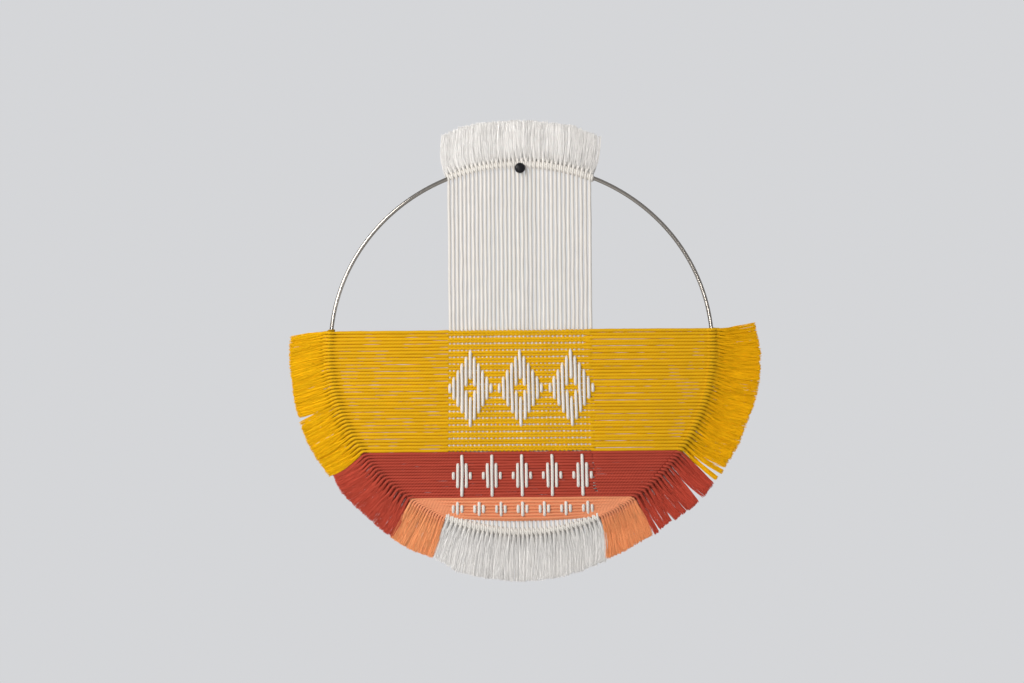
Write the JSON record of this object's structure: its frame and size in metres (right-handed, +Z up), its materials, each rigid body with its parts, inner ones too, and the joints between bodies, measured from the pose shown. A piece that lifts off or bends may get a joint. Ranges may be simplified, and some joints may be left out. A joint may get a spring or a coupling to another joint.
{
  "type": "yarn weaving wall hanging on a wire hoop",
  "caption": "Round wall hanging: colour-block yarn bands and white warps knotted across a wire hoop, with fringed ends all round, hung on a pin.",
  "frame": {"origin": "where the pin's shank meets the wall, under the top of the hoop", "axes": "+Z up, +Y into the wall, so the front faces -Y, and +X to the right as seen from the front"},
  "size_m": [0.44, 0.0193, 0.4297],
  "materials": {
    "hoop_steel": "polished steel wire, slightly warm",
    "pin_black": "glossy black domed head on a steel shank",
    "yarn_white": "cream plied cotton yarn, soft and matte",
    "yarn_yellow": "mustard plied cotton yarn, soft and matte",
    "yarn_red": "rust red plied cotton yarn, soft and matte",
    "yarn_peach": "peach plied cotton yarn, soft and matte"
  },
  "bodies": {
    "root": {"hoop": "hoop_steel", "wall_pin": "pin_black", "warp_curtain": "yarn_white", "weft_yellow": "yarn_yellow", "weft_red": "yarn_red", "weft_peach": "yarn_peach", "fringe_white_top": "yarn_white", "fringe_white_bottom": "yarn_white", "fringe_yellow_left": "yarn_yellow", "fringe_yellow_right": "yarn_yellow", "fringe_red_left": "yarn_red", "fringe_red_right": "yarn_red", "fringe_peach_left": "yarn_peach", "fringe_peach_right": "yarn_peach"}
  },
  "joints": []
}
